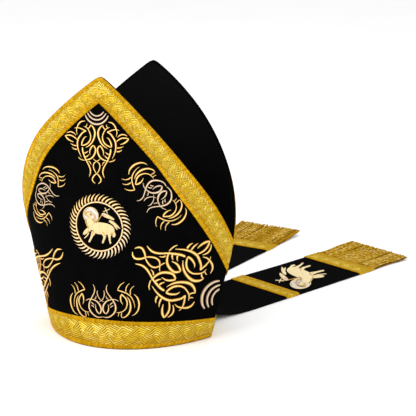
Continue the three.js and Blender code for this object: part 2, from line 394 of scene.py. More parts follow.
finish = {
    "velvet": (0.0017, 0.0016, 0.0017, 1),
    "lining": (0.0028, 0.0027, 0.0028, 1),
    "goldTint": (0.95, 0.74, 0.26, 1),
    # braid colours in order: painted shade of the plait gaps, braid gold, painted highlight of the rib
    # crests, selvedge gold, painted glint; on the selvedge the shade and highlight colours only bound the
    # random tone of its threads
    "braidDeep": (0.075, 0.026, 0.0005),
    "braidGold": (0.49, 0.285, 0.009),
    "braidCrest": (0.78, 0.57, 0.035),
    "selvedge": (0.66, 0.345, 0.006),
    "braidPaintedGlint": (1.0, 0.92, 0.34, 1),
    # satin stitch ramps, middle of a stroke to its edge: the thread colour with a painted highlight down
    # the middle and painted shade deepening to the edges
    "goldLitShadedStops": [(0.0, (1.0, 0.81, 0.37)), (0.4, (0.90, 0.56, 0.10)),
                    (0.75, (0.56, 0.245, 0.014)), (1.0, (0.20, 0.06, 0.005))],
    "roseLitShadedStops": [(0.0, (0.81, 0.65, 0.465)), (0.45, (0.60, 0.45, 0.305)),
                  (0.8, (0.27, 0.165, 0.095)), (1.0, (0.09, 0.05, 0.03))],
    "ringLitShadedStops": [(0.0, (1.0, 0.88, 0.68)), (0.4, (0.84, 0.66, 0.42)),
                  (0.75, (0.46, 0.26, 0.08)), (1.0, (0.10, 0.04, 0.008))],
    # fringe ramp from the painted shade in the grooves of the twist to the painted highlight on its ridges
    "fringeLitShadedStops": [(0.05, (0.06, 0.020, 0.001)), (0.4, (0.44, 0.22, 0.003)),
                    (0.75, (0.80, 0.51, 0.03)), (1.0, (1.0, 0.86, 0.46))],
}


def makeVelvet():
    m, tree, shader = newMaterial("velvetBlack", 0.95, 0.01)
    shader.inputs["Sheen Weight"].default_value = 0.002
    shader.inputs["Sheen Roughness"].default_value = 0.4
    mottledBase(tree, shader, finish["velvet"], 0.9, 70.0)
    pile = place(tree, pileGroup, Scale=1300.0)
    bumpInto(tree, shader, pile.outputs["Height"], 0.5, 0.0006)
    return m


def makeLining():
    m, tree, shader = newMaterial("liningBlack", 0.7, 0.03)
    mottledBase(tree, shader, finish["lining"], 0.4, 30.0)
    pile = place(tree, pileGroup, Scale=2200.0)
    bumpInto(tree, shader, pile.outputs["Height"], 0.25, 0.0004)
    return m


def newGold(name, rough):
    m, tree, shader = newMaterial(name, rough, 0.1, 0.8)
    shader.inputs["Specular Tint"].default_value = finish["goldTint"]
    return m, tree, shader


# painted light and shade of the plait: each level starts from the lower strands, then what the upper
# strands and their arches add to it;
# the lower strands sit in painted shade, rib crests get painted highlight and the gaps painted shade; hump
# (painted shade at the strand edges) and spark (painted glints) are a start and a gain
plaitShade = {"low": (0.30, -0.28, 0.20), "rise": (0.40, 0.46, -0.08), "hump": (0.75, 0.25),
              "spark": (0.5, 0.45), "ribPower": 4.0, "sparkPower": 2.0, "selvedge": (0.3, 0.4)}


def makeBraid():
    m, tree, shader = newGold("braidGold", 0.42)
    u, v = clothUv(tree)
    wide = node(tree, "ShaderNodeAttribute", attribute_name="wide").outputs["Fac"]
    out = place(tree, plaitGroup, Along=u, Across=v, Wide=wide).outputs
    over = calc(tree, "MULTIPLY", out["Upper"], out["Arch"])

    def level(lower, upper, arch):
        strand = calc(tree, "MULTIPLY_ADD", out["Upper"], upper, lower)
        return calc(tree, "MULTIPLY_ADD", over, arch, strand)

    def graded(value, key):
        start, gain = plaitShade[key]
        return calc(tree, "MULTIPLY_ADD", value, gain, start)

    # painted light: the rib crests lit, and the gaps between ribs and the lower strands in painted shade,
    # darker still where the hump falls off at the strand edges
    light = calc(tree, "MULTIPLY_ADD", out["Rib"], level(*plaitShade["rise"]), level(*plaitShade["low"]))
    light = calc(tree, "MULTIPLY", light, graded(out["Hump"], "hump"))
    deep, crest = (0.0, finish["braidDeep"]), (1.0, finish["braidCrest"])
    col = ramp(tree, light, [deep, (0.5, finish["braidGold"]), crest])
    # painted glints on the rib crests, strongest on the arches of the upper strands, mixed toward the
    # glint colour
    ribShine = calc(tree, "POWER", out["Rib"], plaitShade["ribPower"])
    shine = calc(tree, "MULTIPLY", ribShine, calc(tree, "POWER", out["Spark"], plaitShade["sparkPower"]))
    shine = calc(tree, "MULTIPLY", shine, graded(over, "spark"))
    lit = mixed(tree, shine, col, finish["braidPaintedGlint"])
    threads = place(tree, threadGroup, Along=u, Across=v, Pitch=0.7, Slant=0.25)
    tint = graded(threads.outputs["Shade"], "selvedge")
    plain = ramp(tree, tint, [deep, (0.5, finish["selvedge"]), crest])
    mottledBase(tree, shader, mixed(tree, out["Border"], lit, plain), 0.45, 260.0)
    links = {"Factor": out["Border"], 2: out["Rib"], 3: threads.outputs["Height"]}
    ridges = node(tree, "ShaderNodeMix", links)
    bumpInto(tree, shader, ridges.outputs[0], 0.7, 0.0007)
    return m


# satin stitch: painted highlight down the middle, painted shade deeper towards the edges; tone 0 gold to 1
# the second colour
def makeThread(name, second):
    m, tree, shader = newMaterial(name, 0.4, metal=0.45)
    u, v = clothUv(tree)
    edge = calc(tree, "MULTIPLY", calc(tree, "ABSOLUTE", calc(tree, "SUBTRACT", v, 0.5)), 2.0)
    tone = node(tree, "ShaderNodeAttribute", attribute_name="tone").outputs["Fac"]
    col = mixed(tree, tone, ramp(tree, edge, finish["goldLitShadedStops"]), ramp(tree, edge, finish[second]))
    threads = place(tree, threadGroup, Along=u, Across=v, Pitch=0.42, Slant=0.5)
    shade = calc(tree, "MULTIPLY_ADD", threads.outputs["Shade"], 0.24, 0.88)
    tree.links.new(scaled(tree, col, shade), shader.inputs["Base Color"])
    bumpInto(tree, shader, threads.outputs["Height"], 0.4, 0.00025)
    return m


# plain silk fills of the lamb, one colour each
def makeSilk(name, rgb, deep):
    m, tree, shader = newMaterial(name, 0.55)
    u, v = clothUv(tree)
    threads = place(tree, threadGroup, Along=u, Across=v, Pitch=0.5, Slant=0.8)
    col = ramp(tree, threads.outputs["Shade"], [(0.0, deep), (0.7, rgb), (1.0, rgb)])
    mottledBase(tree, shader, col, 0.25, 350.0)
    bumpInto(tree, shader, threads.outputs["Height"], 0.4, 0.0003)
    return m


# two-ply twist comes from slanted lines round each cord, with painted shade in its grooves and a painted
# highlight on its ridges; relief is the brightness of each cord: its random tone, with painted shade on
# the lower layer
def makeFringe():
    m, tree, shader = newGold("fringeGold", 0.45)
    u, v = clothUv(tree)
    threads = place(tree, threadGroup, Along=u, Across=v, Pitch=2.1, Slant=4.2)
    lit = node(tree, "ShaderNodeAttribute", attribute_name="relief").outputs["Fac"]
    spark = calc(tree, "MULTIPLY_ADD", threads.outputs["Shade"], 0.55, 0.5)
    light = calc(tree, "MULTIPLY", calc(tree, "MULTIPLY", threads.outputs["Height"], spark), lit)
    tree.links.new(ramp(tree, light, finish["fringeLitShadedStops"]), shader.inputs["Base Color"])
    bumpInto(tree, shader, threads.outputs["Height"], 0.7, 0.0006)
    return m


velvet = makeVelvet()
lining = makeLining()
braidGold = makeBraid()
threadMetal = makeThread("threadMetal", "roseLitShadedStops")
ringMetal = makeThread("ringMetal", "ringLitShadedStops")
fringeGold = makeFringe()
woolSilk = makeSilk("lambWool", (0.77, 0.60, 0.31), (0.66, 0.48, 0.20))
# painted light: the lappet lambs take a lighter copy of the lamb wool instead of more light
litWoolCopy = makeSilk("lappetWool", (0.90, 0.75, 0.42), (0.80, 0.63, 0.31))
haloSilk = makeSilk("haloWhite", (0.76, 0.68, 0.62), (0.64, 0.55, 0.48))
lineSilk = makeSilk("outlineGold", (0.62, 0.36, 0.06), (0.42, 0.20, 0.03))
pinkSilk = makeSilk("crossPink", (0.85, 0.32, 0.38), (0.70, 0.22, 0.28))
blackSilk = makeSilk("eyeBlack", (0.004, 0.004, 0.004), (0.003, 0.003, 0.003))
print("finishes made")

# stiff velvet horns
panel = {"thick": 2.4, "rows": 90, "cols": 96, "seam": 0.15, "foldTurn": 40, "foldDrop": 0.25,
         "foldIn": 0.15, "uv": (300, 300)}


def seamHold(points, side):
    points[..., 1] = side * np.maximum(side * points[..., 1], panel["seam"])
    return points


# the outer face turns in a little along the sloping edge
def makePanel(name, side):
    def at(v, u, off):
        t = (u * 2 - 1) * crown["seamReach"]
        slip = (1 - np.clip((1 - v) * panel["foldTurn"], 0, 1)) ** 2
        z = edgeHeight(t) * v - panel["foldDrop"] * slip
        if off == 0:
            off = -panel["foldIn"] * slip
        return seamHold(crownPoints(t, z, side, off), side)
    patches = clothSlab(at, panel["rows"], panel["cols"], panel["thick"], panel["uv"], side > 0)
    return patchesToObject(name, patches, [velvet], weld=True, crease=50)


frontPanel = keep(makePanel("front_velvet", -1), "velvet_black", "front_panel")
backPanel = keep(makePanel("back_velvet", 1), "velvet_black", "back_panel")
print("horns made")

# lining up the inside of both horns and the soft gusset between them, one cloth
web = {"thick": 1.2, "reach": 0.955, "bowlTurn": 0.42, "bowlDeep": 26.0, "bowlEase": 1.6, "gap": 2.8,
       "topDrop": 2.5, "rimDrop": 6, "rimRise": 0.13, "rows": 72, "cols": 64, "uv": (270, 500)}


def webPlace(v, u, off):
    t = (u * 2 - 1) * web["reach"]
    s = v * 2 - 1
    a = np.abs(s)
    inset = -off
    shoulder = crown["z"][1]
    top = edgeHeight(t) - web["topDrop"]
    rim = shoulder - web["rimDrop"] + web["rimRise"] * (edgeHeight(t) - shoulder)
    k = np.clip((a - web["bowlTurn"]) / (1 - web["bowlTurn"]), 0, 1)
    z = rim + (top - rim) * k
    turn = np.clip(a / web["bowlTurn"], 0, 1) * math.pi / 2
    halves = []
    for side in (-1, 1):
        leaf = crownPoints(t, z, side, -web["gap"] - inset)
        wall = crownPoints(t, rim, side, -web["gap"] - inset)
        out = np.abs(wall[..., 1]) / throughRows("backDepth", rim)
        deep = web["bowlDeep"] * np.minimum(1, web["bowlEase"] * out)
        floor = rim + inset - deep * np.cos(turn)
        bowl = np.stack([wall[..., 0], wall[..., 1] * np.sin(turn), floor], -1)
        halves.append(np.where((a >= web["bowlTurn"])[..., None], leaf, bowl))
    return np.where((s < 0)[..., None], halves[0], halves[1])


webPatches = clothSlab(webPlace, web["rows"], web["cols"], web["thick"], web["uv"])
crownWeb = patchesToObject("crown_web", webPatches, [lining], weld=True, crease=60)
keep(crownWeb, "lining_black", "crown_gusset", "front_lining", "back_lining")
print("web made")


# height of the braid over the cloth
def plaitHeight(along, across, wide):
    half = wide / 2 - braid["selvedge"]
    v = wide / 2 - across
    w = np.clip(v / half, -1, 1)
    x = along / (braid["period"] * half)
    up = w > braid["zigzag"] * np.sin(2 * np.pi * x)
    a = np.where(up, w, -w)
    wholeTurns = 100
    f = np.modf(x - braid["lean"] * a + np.where(up, 0.0, 0.5) + wholeTurns)[0]
    nest = np.minimum(f, braid["archDrop"] * (1 - a) - braid["archRun"] * f)
    hump = np.clip(nest * braid["humpGain"], 0, 1) ** 0.5
    q = np.clip((np.abs(v) - half) / braid["selvedge"], 0, 1)
    begin, span = braid["cordSpan"]
    cord = braid["cordRise"] * np.sin(np.pi * np.clip(begin + q * span, 0, 1)) ** 0.5
    return np.where(np.abs(v) < half, braid["bed"] + braid["plait"] * hump, cord)


# strip with its long sides turned down to the cloth
def braidPatch(along, across, wide, lay):
    off = braid["lay"] + braid["thick"] * 0.5 + plaitHeight(along, across, wide)
    edge = np.minimum(across, wide - across)
    off = np.where(edge < braid["edgeStep"] / 2, braid["edgeLift"], off)
    return {"points": lay(off), "uv": np.stack([along, across], -1), "values": {"wide": wide}}


def stripAcross(wide):
    n = int(wide / braid["step"])
    v = np.linspace(0, wide, n + 1)
    return np.concatenate([[0.0], [braid["edgeStep"]], v[1:-1], [wide - braid["edgeStep"]], [wide]])


def runAlong(points):
    return np.concatenate([[0], np.linalg.norm(np.diff(points, axis=0), axis=1).cumsum()])


# braid on the sloping edges: tuck gives for each hand where it starts to narrow and by what share
edgeTrim = {
    "wide": 26.3, "steps": 300, "phase": 7.0,
    "inset": {"front": 0.3, "back": 3.0},
    "tuck": {"front": {-1: (0.5, 0.6), 1: (0.25, 0.17)}, "back": {-1: (0.5, 0.0), 1: (0.5, 0.0)}},
}


def makeEdgeBraid(word, side):
    inset = edgeTrim["inset"][word]
    wide = edgeTrim["wide"] - inset
    ts = np.linspace(0, crown["seamReach"], edgeTrim["steps"])
    slope = edgeSlope(ts)
    run = runAlong(crownPoints(ts, edgeHeight(ts), side))
    lean = np.sqrt(1 + slope ** 2)
    patches = []
    for hand, (start, share) in edgeTrim["tuck"][word].items():
        across = stripAcross(wide)[None, :] + 0 * ts[:, None]
        near = np.clip((ts - start) / (1 - start), 0, 1)[:, None]
        drop = across * lean[:, None] * (1 - share * near * near * (3 - 2 * near))
        z = edgeHeight(ts[:, None] + 0 * across, 1 - across / wide) - inset - drop
        along = run[:, None] + drop * (slope / lean)[:, None] + edgeTrim["phase"]

        def lay(off, hand=hand, z=z):
            return seamHold(crownPoints(hand * ts[:, None] + 0 * z, z, side, off), side)
        p = braidPatch(along, across, wide, lay)
        p["flip"] = (hand * side) > 0
        patches.append(p)
    return patchesToObject(f"{word}_edge_trim", patches, [braidGold])


# braid round the rim: its top stands up in the middle and dips towards the side seams
baseTrim = {"wide": 32.2, "lift": 0.8, "middle": 16.0, "steps": 340, "rise": 3.0, "dip": (19.0, 10.0)}


def makeBaseBraid(word, side):
    wide = baseTrim["wide"]
    ts = np.linspace(-crown["seamReach"], crown["seamReach"], baseTrim["steps"])
    run = runAlong(crownPoints(ts, baseTrim["middle"], side))
    across = stripAcross(wide)[None, :] + 0 * ts[:, None]
    bow = baseTrim["rise"] - np.where(ts < 0, *baseTrim["dip"]) * ts ** 2
    z = baseTrim["lift"] + (wide + bow[:, None]) * (1 - across / wide)
    along = run[:, None] - run[-1] / 2 + 0 * z

    def lay(off):
        return seamHold(crownPoints(ts[:, None] + 0 * z, z, side, off), side)
    p = braidPatch(along, across, wide, lay)
    p["flip"] = side > 0
    return patchesToObject(f"{word}_base_trim", [p], [braidGold])


hornBraids = {}
for word, side in (("front", -1), ("back", 1)):
    hornBraids[word] = [makeEdgeBraid(word, side), makeBaseBraid(word, side)]
    keep(hornBraids[word][0], "braid_gold", f"{word}_edge_braid")
    keep(hornBraids[word][1], "braid_gold", f"{word}_base_braid")
print("crown braids made")


# embroidery is raised satin strokes; a chart row is a point and the half width there
def smoothPath(rows, step):
    p = np.array(rows, float)
    ext = np.vstack([2 * p[0] - p[1], p, 2 * p[-1] - p[-2]])
    out = []
    for i in range(1, len(ext) - 2):
        p0, p1, p2, p3 = ext[i - 1:i + 3]
        n = max(3, int(np.linalg.norm((p2 - p1)[:2]) / step))
        k = np.linspace(0, 1, n, endpoint=False)[:, None]
        out.append(0.5 * (2 * p1 + (p2 - p0) * k + (2 * p0 - 5 * p1 + 4 * p2 - p3) * k ** 2
                          + (3 * p1 - p0 - 3 * p2 + p3) * k ** 3))
    out.append(p[-1:])
    return np.vstack(out)


# least sizes of a stroke in mm, its steps across and along
satin = {"thinnest": 0.12, "tipLong": 0.3, "tipLeast": 0.02, "lowest": 0.25, "across": 8, "step": 0.8}


# path is in mm on the cloth; lay(x, y, height) puts it on the piece
def satinStroke(path, lay, relief=1.3, tone=0.0, slot=0, lift=0.0, full=1.6):
    wide = np.maximum(path[:, 2], satin["thinnest"])
    xy = path[:, :2]
    run = runAlong(xy)
    tip = np.clip(np.minimum(run, run[-1] - run) / np.maximum(wide, satin["tipLong"]), 0, 1)
    wide = wide * np.sqrt(np.clip(1 - (1 - tip) ** 2, satin["tipLeast"], 1))
    tan = np.gradient(xy, axis=0)
    tan /= np.maximum(np.linalg.norm(tan, axis=1, keepdims=True), 1e-9)
    nor = np.stack([-tan[:, 1], tan[:, 0]], 1)
    v = np.sin(np.linspace(-1, 1, satin["across"] + 1) * math.pi / 2)
    spread = wide[:, None] * v[None, :]
    x = xy[:, 0:1] + nor[:, 0:1] * spread
    y = xy[:, 1:2] + nor[:, 1:2] * spread
    crest = relief * np.clip(wide / full, satin["lowest"], 1)
    height = crest[:, None] * np.sqrt(np.clip(1 - v ** 2, 0, 1))[None, :]
    uv = np.stack([run[:, None] + 0 * x, (v[None, :] + 1) / 2 + 0 * x], -1)
    return {"points": lay(x, y, height + lift), "uv": uv, "values": {"tone": tone}, "slot": slot}


def onFront(x, y, h):
    lowZ, highZ, overCloth = 0.5, 320, 0.02
    z = np.clip(y, lowZ, highZ)
    return crownPoints(clothToT(x, z), z, -1, h + overCloth)


# right half of the scroll with the nested arcs: x from its middle line, y down, half width
arcScroll = {
    "arcs": [
        [(0, 2.05, 0.17), (0.5, 1.95, 0.17), (0.98, 1.62, 0.16), (1.34, 1.16, 0.10)],
        [(0, 2.76, 0.20), (0.66, 2.62, 0.19), (1.3, 2.15, 0.17), (1.76, 1.46, 0.11)],
        [(0, 3.56, 0.23), (0.88, 3.36, 0.22), (1.7, 2.72, 0.19), (2.18, 1.86, 0.12)],
    ],
    "half": [
        [(2.12, 3.05, 0.05), (2.85, 3.20, 0.16), (3.35, 3.65, 0.18), (3.66, 4.35, 0.15),
         (3.78, 5.0, 0.12), (3.66, 5.65, 0.05)],
        [(4.25, 4.52, 0.04), (3.65, 4.37, 0.10), (2.95, 4.5, 0.15), (2.45, 4.72, 0.15),
         (1.93, 4.93, 0.14)],
        [(1.92, 4.9, 0.12), (2.55, 5.2, 0.18), (3.12, 5.9, 0.21), (3.46, 6.5, 0.21), (3.6, 7.2, 0.21),
         (3.55, 8.0, 0.18), (3.32, 8.85, 0.13), (2.88, 9.85, 0.05)],
        [(3.85, 5.82, 0.05), (4.35, 5.36, 0.13), (4.85, 5.2, 0.15), (5.3, 5.28, 0.12), (5.7, 5.5, 0.05)],
        [(3.62, 6.66, 0.08), (4.05, 6.26, 0.14), (4.65, 5.92, 0.16), (5.25, 5.84, 0.17),
         (5.97, 5.95, 0.12)],
        [(5.98, 5.92, 0.12), (5.6, 6.42, 0.20), (5.15, 6.76, 0.17), (4.75, 6.95, 0.12),
         (4.3, 7.08, 0.04)],
        [(3.72, 7.76, 0.15), (4.25, 7.7, 0.14), (4.65, 7.56, 0.10), (5.0, 7.34, 0.04)],
        [(3.68, 8.42, 0.17), (4.15, 8.38, 0.15), (4.45, 8.25, 0.11), (4.7, 8.04, 0.04)],
        [(1.1, 3.7, 0.10), (0.62, 4.2, 0.19), (0.32, 4.9, 0.24), (0.32, 5.6, 0.24), (0.56, 6.4, 0.21),
         (0.95, 7.1, 0.18), (1.45, 7.6, 0.13), (2.1, 8.02, 0.04)],
        [(1.12, 3.66, 0.10), (1.24, 4.08, 0.13), (1.6, 4.46, 0.14)],
        [(2.45, 4.02, 0.04), (1.95, 4.25, 0.10), (1.58, 4.58, 0.13), (1.26, 5.2, 0.14),
         (1.1, 5.8, 0.15), (1.2, 6.5, 0.17), (1.55, 7.06, 0.18), (2.05, 7.42, 0.17), (2.72, 7.66, 0.14)],
        [(2.8, 7.7, 0.15), (2.74, 7.1, 0.19), (2.5, 6.5, 0.17), (2.22, 6.1, 0.12), (1.86, 5.9, 0.04)],
        [(1.82, 3.5, 0.05), (1.85, 3.86, 0.10), (2.1, 4.1, 0.11)],
        [(2.66, 7.96, 0.20), (2.6, 8.6, 0.21), (2.4, 9.3, 0.20), (2.05, 10.2, 0.16),
         (1.66, 10.9, 0.15), (1.3, 11.6, 0.17), (1.15, 12.3, 0.17), (1.25, 12.9, 0.12),
         (1.45, 13.4, 0.05)],
        [(3.52, 9.8, 0.05), (3.1, 10.16, 0.11), (2.3, 10.42, 0.10)],
        [(2.26, 10.32, 0.10), (1.4, 10.12, 0.16), (0.7, 9.65, 0.20), (0.27, 8.85, 0.22),
         (0.2, 8.1, 0.20), (0.6, 7.45, 0.14)],
        [(0.62, 7.42, 0.14), (1.05, 8.0, 0.18), (1.28, 8.6, 0.15), (1.25, 9.35, 0.05)],
        [(2.36, 9.04, 0.14), (1.96, 8.9, 0.13), (1.6, 8.56, 0.04)],
        [(2.22, 9.8, 0.15), (1.8, 9.6, 0.14), (1.45, 9.2, 0.04)],
        [(1.56, 10.44, 0.14), (1.2, 10.7, 0.11), (1.02, 11.2, 0.04)],
        [(0.7, 9.95, 0.06), (0.36, 10.22, 0.09), (-0.04, 10.4, 0.09)],
        [(0.0, 10.42, 0.08), (0.45, 10.75, 0.13), (0.63, 11.3, 0.14), (0.5, 11.9, 0.14),
         (0.25, 12.4, 0.11), (0.0, 12.8, 0.09)],
        [(0.0, 12.7, 0.11), (0.45, 13.1, 0.16), (0.8, 13.7, 0.17), (0.7, 14.2, 0.14), (0.25, 14.6, 0.05)],
    ],
    "anchor": 13.8, "outward": -1,
}

# right half of the clawed scroll: tone 1 for its silver middle, then the gold claw
clawScroll = {
    "middle": [
        [(1.3, 1.15, 0.05), (1.05, 1.8, 0.12), (1.15, 2.5, 0.14), (1.6, 3.3, 0.15), (2.05, 4.0, 0.18),
         (2.35, 4.8, 0.22), (2.3, 5.6, 0.22), (1.85, 6.3, 0.20), (1.15, 6.8, 0.16), (0.55, 6.9, 0.13),
         (0.0, 6.8, 0.08)],
        [(0.55, 2.15, 0.07), (0.65, 2.7, 0.12), (0.45, 3.4, 0.11), (0.05, 3.9, 0.08), (-0.45, 4.2, 0.04)],
        [(0.85, 3.08, 0.04), (0.98, 3.5, 0.11), (1.25, 3.78, 0.13)],
        [(3.05, 4.15, 0.04), (2.55, 3.85, 0.10), (2.05, 3.75, 0.11), (1.45, 3.85, 0.14),
         (0.85, 4.1, 0.18), (0.35, 4.7, 0.23), (0.15, 5.4, 0.23), (0.3, 6.0, 0.20), (0.6, 6.3, 0.13)],
        [(0.6, 6.32, 0.13), (1.0, 5.8, 0.18), (1.15, 5.2, 0.13), (1.1, 4.55, 0.04)],
        [(1.98, 4.26, 0.09), (1.62, 4.5, 0.14), (1.34, 4.84, 0.05)],
        [(1.98, 4.84, 0.09), (1.66, 4.98, 0.13), (1.4, 5.26, 0.05)],
    ],
    "claw": [
        [(4.25, 0.8, 0.04), (3.65, 1.15, 0.11), (3.25, 1.6, 0.14), (2.95, 2.15, 0.12)],
        [(2.9, 2.15, 0.13), (3.65, 2.4, 0.16), (4.45, 2.8, 0.16), (5.05, 3.4, 0.15),
         (5.35, 4.1, 0.12), (5.5, 4.8, 0.08), (5.45, 5.45, 0.04)],
        [(4.3, 2.5, 0.15), (4.4, 1.85, 0.13), (4.7, 1.35, 0.09), (5.1, 1.05, 0.04)],
        [(5.0, 3.05, 0.15), (5.05, 2.4, 0.13), (5.3, 1.9, 0.09), (5.8, 1.5, 0.04)],
        [(5.55, 2.95, 0.05), (6.05, 3.6, 0.18), (6.25, 4.4, 0.24), (6.2, 5.2, 0.23), (5.9, 6.0, 0.18),
         (5.45, 6.5, 0.13), (4.9, 6.75, 0.04)],
        [(4.35, 3.3, 0.04), (4.7, 3.9, 0.14), (4.85, 4.7, 0.22), (4.75, 5.6, 0.23), (4.35, 6.4, 0.20),
         (3.75, 6.9, 0.15), (3.25, 7.0, 0.10)],
        [(3.22, 7.05, 0.09), (3.15, 6.6, 0.12), (3.28, 6.1, 0.09)],
        [(2.4, 6.05, 0.05), (3.0, 6.05, 0.11), (3.65, 5.8, 0.12), (4.15, 5.2, 0.15),
         (4.35, 4.4, 0.20), (4.2, 3.7, 0.20), (3.75, 3.1, 0.17), (3.55, 2.85, 0.12)],
        [(3.55, 2.85, 0.13), (3.35, 3.4, 0.20), (3.35, 4.1, 0.15), (3.6, 4.75, 0.04)],
        [(2.8, 6.1, 0.09), (2.7, 6.5, 0.08), (2.6, 6.8, 0.04)],
    ],
    "anchor": 2.15, "outward": 1,
}

# where each scroll sits on the cloth: anchor, direction of its outer end, sizes; spread widens what
# lies past a place on the turned left side
motif = {
    "centre": (2.0, 148.0), "seamAt": 0.97,
    "arcPlaces": [
        {"name": "top_scroll", "at": (-0.7, 203.4), "turn": 91.4, "kx": 6.88, "ky": 6.26, "wide": 5.7},
        {"name": "lower_right_scroll", "at": (50.65, 119.15), "turn": -31.6, "kx": 9.0, "ky": 8.6,
         "wide": 8.8, "arcMoves": ((9.0, -8.2), (7.3, -7.7), (6.0, -7.0)), "arcBold": 1.12},
        {"name": "lower_left_scroll", "at": (-57.8, 106.0), "turn": 218.6, "kx": 6.7, "ky": 11.1,
         "wide": 8.0, "spread": (-63.2, 1.33)},
    ],
    "clawPlaces": [
        {"name": "right_scroll", "at": (59.7, 179.0), "turn": 40.25, "kx": 6.88, "ky": 6.74, "wide": 5.5},
        {"name": "left_scroll", "at": (-56.6, 171.9), "turn": 162.4, "kx": 6.13, "ky": 4.13,
         "wide": 4.8, "pale": 0.85, "spread": (-46.7, 1.7)},
        {"name": "bottom_scroll", "at": (4.4, 71.6), "turn": -85.2, "kx": 7.21, "ky": 6.99,
         "wide": 5.3, "pale": 0.6},
    ],
    "arcTone": 0.95, "leafTone": 0.05, "clawTone": 0.1, "middleTone": 0.9,
}


# a stroke stops where the panel is turned into the side seam
def shortOfSeam(path):
    onPanel = np.abs(clothToT(path[:, 0], path[:, 1])) < motif["seamAt"]
    ends = np.flatnonzero(~onPanel)
    if not len(ends):
        return path
    first = path[:ends[0]]
    last = path[ends[-1] + 1:]
    return first if len(first) > len(last) else last


# chart rows to cloth mm: side runs across the spoke, out runs away from the medallion
def spokePath(rows, spot, chart, hand, move=(0.0, 0.0), bold=1.0):
    rows = np.array(rows, float)
    side = rows[:, 0] * spot["kx"] * hand
    out = (rows[:, 1] - chart["anchor"]) * spot["ky"] * chart["outward"]
    a = math.radians(spot["turn"])
    x = spot["at"][0] + move[0] + math.cos(a) * out + math.sin(a) * side
    y = spot["at"][1] + move[1] + math.sin(a) * out - math.cos(a) * side
    if "spread" in spot:
        fromX, more = spot["spread"]
        x = np.where(x < fromX, fromX + (x - fromX) * more, x)
    path = smoothPath(np.stack([x, y, rows[:, 2] * spot["wide"] * bold], 1), satin["step"])
    return shortOfSeam(path)


def addStroke(patches, path, tone):
    if len(path) > 3:
        patches.append(satinStroke(path, onFront, tone=tone))


# both hands of a half chart
def addPairs(patches, chart, part, spot, tone):
    for rows in chart[part]:
        for hand in (1, -1):
            addStroke(patches, spokePath(rows, spot, chart, hand), tone)


def makeArcScroll(spot):
    patches = []
    moves = spot.get("arcMoves", ((0.0, 0.0),) * 3)
    for rows, move in zip(arcScroll["arcs"], moves):
        whole = [(-x, y, w) for x, y, w in rows[:0:-1]] + rows
        path = spokePath(whole, spot, arcScroll, 1, move, spot.get("arcBold", 1.0))
        addStroke(patches, path, motif["arcTone"])
    addPairs(patches, arcScroll, "half", spot, motif["leafTone"])
    return keep(patchesToObject(spot["name"], patches, [threadMetal]), "braid_gold")


def makeClawScroll(spot):
    patches = []
    addPairs(patches, clawScroll, "middle", spot, spot.get("pale", motif["middleTone"]))
    addPairs(patches, clawScroll, "claw", spot, motif["clawTone"])
    return keep(patchesToObject(spot["name"], patches, [threadMetal]), "braid_gold")


scrolls = [makeArcScroll(spot) for spot in motif["arcPlaces"]]
scrolls += [makeClawScroll(spot) for spot in motif["clawPlaces"]]
print("scrolls made")

# lamb with halo, staff and banner: x right, y up from its middle, half width, all in lamb units
lamb = {
    "units": 0.0676,
    "squash": 0.97,
    "haloDisc": (-150, 189, 141),
    "haloRim": (-150, 189, 144, 9),
    "wool": [
        [(-180, 150, 62), (-168, 100, 72), (-147, 50, 84), (-110, 0, 98), (-60, -25, 104)],
        [(-120, -25, 96), (0, -28, 108), (90, -28, 107), (165, -34, 102), (225, -48, 88),
         (262, -76, 58), (282, -104, 26)],
        [(-274, 214, 14), (-232, 214, 30), (-178, 206, 50), (-140, 190, 54)],
        [(276, -74, 24), (292, -115, 27), (284, -150, 25), (270, -166, 16)],
        [(212, -100, 40), (208, -165, 24), (212, -215, 17), (228, -294, 15)],
        [(100, -100, 52), (118, -165, 28), (108, -215, 20), (78, -296, 16)],
        [(-80, -90, 52), (-118, -170, 26), (-142, -225, 20), (-184, -305, 18)],
        [(-150, -50, 42), (-215, -95, 38), (-262, -140, 32), (-298, -174, 15)],
        [(-184, -130, 13), (-225, -192, 10), (-280, -246, 8)],
    ],
    "banner": [
        [(62, 238, 22), (110, 222, 33), (180, 196, 33), (240, 174, 25), (296, 148, 12)],
        [(198, 128, 16), (250, 100, 26), (310, 62, 26), (355, 26, 18), (402, -8, 6)],
        [(290, 62, 16), (320, 15, 14), (352, -34, 6)],
    ],
    "staff": [[(-30, 66, 8), (20, 148, 8), (68, 226, 8), (110, 266, 7)]],
    "cross": [[(88, 276, 8), (150, 306, 8), (212, 338, 8)], [(118, 356, 8), (148, 300, 8), (174, 248, 8)]],
    "lines": [
        [(-108, 236, 6), (-76, 200, 8), (-62, 152, 7), (-70, 118, 5)],
        [(-100, 150, 5), (-98, 110, 7), (-62, 82, 6), (-24, 70, 5)],
        [(-274, 222, 9), (-240, 220, 12), (-205, 216, 6)],
        [(-262, 232, 4), (-215, 247, 6), (-160, 256, 6), (-115, 244, 4)],
        [(-262, 196, 4), (-222, 178, 6), (-190, 158, 4)],
        [(-96, -60, 5), (-92, -110, 7), (-112, -150, 4)],
        [(-168, -78, 5), (-190, -110, 7), (-178, -140, 4)],
        [(84, -70, 5), (112, -120, 7), (140, -160, 4)],
        [(-252, 110, 5), (-232, 40, 7), (-196, -30, 6), (-170, -70, 4)],
        [(254, -60, 5), (262, -100, 6), (255, -140, 4)],
    ],
    "pink": [[(74, 232, 9), (108, 220, 14), (150, 206, 8)]],
    "eye": [[(-152, 208, 11), (-140, 209, 15), (-128, 208, 11)]],
    "woolStep": 0.015, "lineBold": 1.35, "step": 0.7,
}
